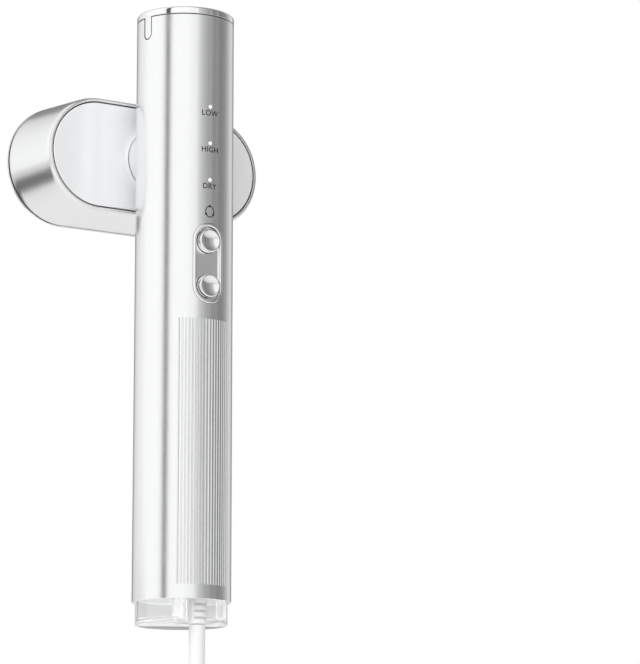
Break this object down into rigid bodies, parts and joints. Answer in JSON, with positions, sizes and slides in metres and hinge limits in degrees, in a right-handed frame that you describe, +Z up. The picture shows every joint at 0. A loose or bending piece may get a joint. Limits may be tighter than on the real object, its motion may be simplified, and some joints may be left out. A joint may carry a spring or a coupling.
{
  "type": "handheld garment steamer",
  "caption": "Slim round handheld steamer with a swivelling oval steam head, push buttons, a clear pull-out water tank in the handle and a coiled mains cord.",
  "frame": {"origin": "on the handle's axis, in the middle of the ribbed grip, 65 mm above the handle tube's lower edge", "axes": "+Z up the handle towards the top cap; +Y out of the soleplate, so the buttons face -Y; +X along the head when it lies across the handle"},
  "size_m": [0.1558, 0.1052, 0.447],
  "materials": {
    "silver_body": "satin silver",
    "chrome_trim": "polished",
    "soleplate_steel": "fine polished",
    "steel": "plain",
    "cast_aluminium": "as cast",
    "brass": "plain",
    "copper_winding": "wound enamelled wire under clear tape",
    "grey_plastic": "moulded",
    "circuit_board": "glass-fibre board",
    "light_diffuser": "milky",
    "white_plastic": "moulded",
    "clear_tank": "clear moulded plastic",
    "clear_silicone": "soft",
    "dark_silicone": "soft",
    "cord_cover": "soft white cover"
  },
  "bodies": {
    "handle": {"handle_tube": "silver_body", "swivel_boss": "silver_body", "top_cap": "chrome_trim", "button_bezel": "chrome_trim", "board_screw_1": "steel", "board_screw_2": "steel", "pump_spring": "steel", "pump_yoke": "steel", "plug_blade_1": "brass", "plug_blade_2": "brass", "pump_coil": "copper_winding", "inner_frame": "grey_plastic", "power_switch": "grey_plastic", "mode_switch": "grey_plastic", "control_board": "circuit_board", "led_low": "light_diffuser", "led_high": "light_diffuser", "led_dry": "light_diffuser", "light_guide": "light_diffuser", "tank_dock": "white_plastic", "pump_body": "white_plastic", "pivot_bush": "white_plastic", "cord_clamp": "white_plastic", "suction_hose": "clear_silicone", "water_hose": "clear_silicone", "friction_ring": "dark_silicone", "cord_tie": "dark_silicone", "strain_relief": "cord_cover", "mains_core": "cord_cover", "mains_lead": "cord_cover", "lead_coil": "cord_cover", "plug_body": "cord_cover"},
    "head": {"pivot_shaft": "steel", "pivot_nut": "brass", "pivot_screw_1": "steel", "pivot_screw_2": "steel", "pivot_screw_3": "steel", "head_shell": "silver_body", "rear_cover": "silver_body", "soleplate": "soleplate_steel", "head_gasket": "dark_silicone", "trim_ring": "chrome_trim", "boiler_block": "cast_aluminium", "heating_element": "steel", "boiler_seal": "dark_silicone", "boiler_cover": "cast_aluminium", "boiler_screw_1": "steel", "boiler_screw_2": "steel", "boiler_screw_3": "steel", "boiler_screw_4": "steel", "water_inlet": "brass", "thermostat": "steel"},
    "tank": {"water_tank": "clear_tank", "tank_seal": "clear_silicone", "tank_lid": "white_plastic", "filler_plug": "clear_silicone", "tank_valve": "white_plastic"},
    "power_button_body": {"power_button": "chrome_trim"},
    "mode_button_body": {"mode_button": "chrome_trim"},
    "piston": {"pump_piston": "steel"}
  },
  "joints": [
    {"name": "head_swivel", "type": "hinge", "parent": "handle", "child": "head", "pos_m": [0, 0, 0.14], "axis": [0, 1, 0], "range_deg": [0, 90]},
    {"name": "tank_pull", "type": "slide", "parent": "handle", "child": "tank", "axis": [0, 0, -1], "range_m": [0, 0.072]},
    {"name": "power_button_press", "type": "slide", "parent": "handle", "child": "power_button_body", "axis": [0, 1, 0], "range_m": [0, 0.0008], "stiffness_N_per_m": 400},
    {"name": "mode_button_press", "type": "slide", "parent": "handle", "child": "mode_button_body", "axis": [0, 1, 0], "range_m": [0, 0.0008], "stiffness_N_per_m": 400},
    {"name": "pump_stroke", "type": "slide", "parent": "handle", "child": "piston", "axis": [0, 0, 1], "range_m": [-0.001, 0.001], "stiffness_N_per_m": 2000, "deforming": ["pump_spring"]}
  ]
}
